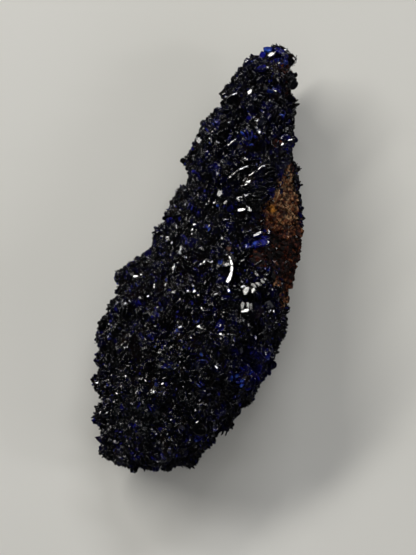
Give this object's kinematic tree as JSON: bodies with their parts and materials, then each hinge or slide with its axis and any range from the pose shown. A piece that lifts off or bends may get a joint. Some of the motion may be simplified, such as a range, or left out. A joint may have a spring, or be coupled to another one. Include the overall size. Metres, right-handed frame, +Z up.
{
  "type": "azurite specimen",
  "caption": "Fin-shaped mineral specimen: brown iron-oxide rock grown over with a crust of small dark-blue azurite crystals, bare on one flank and underneath.",
  "frame": {"origin": "under the middle of the box, on the surface that the specimen lies on", "axes": "+Z up, away from the broken rock of the back that it lies on; +Y along its length, from the broad foot to the narrow tip; +X towards the flank where the rock is bare"},
  "size_m": [0.0164, 0.0418, 0.0137],
  "materials": {
    "azurite": "many small glassy crystal faces, near-black blue, with bright glints",
    "limonite": "dull, granular, red-brown to ochre"
  },
  "bodies": {
    "root": {"azurite_crust": "azurite", "matrix_rock": "limonite"}
  },
  "joints": []
}
